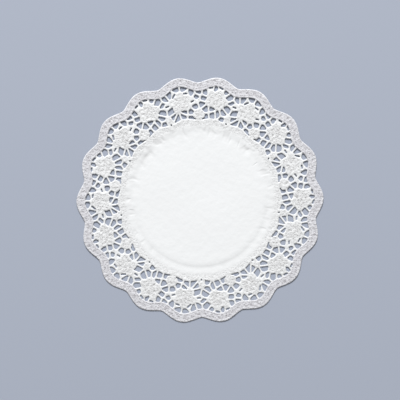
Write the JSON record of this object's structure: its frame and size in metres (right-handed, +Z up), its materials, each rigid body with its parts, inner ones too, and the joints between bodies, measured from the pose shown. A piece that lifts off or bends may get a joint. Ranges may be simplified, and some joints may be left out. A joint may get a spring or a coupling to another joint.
{
  "type": "paper doily",
  "caption": "Round white paper doily: plain middle, cut and embossed lace ring of flowers and bridges, scalloped ribbon edge.",
  "frame": {"origin": "middle of the doily, on its flat underside", "axes": "+Z up out of the embossed face; +Y towards the top of the picture; X and Y in the plane of the sheet"},
  "size_m": [0.3, 0.2966, 0.0018],
  "materials": {
    "paper": "matt white embossed paper"
  },
  "bodies": {
    "root": {"doily": "paper"}
  },
  "joints": []
}
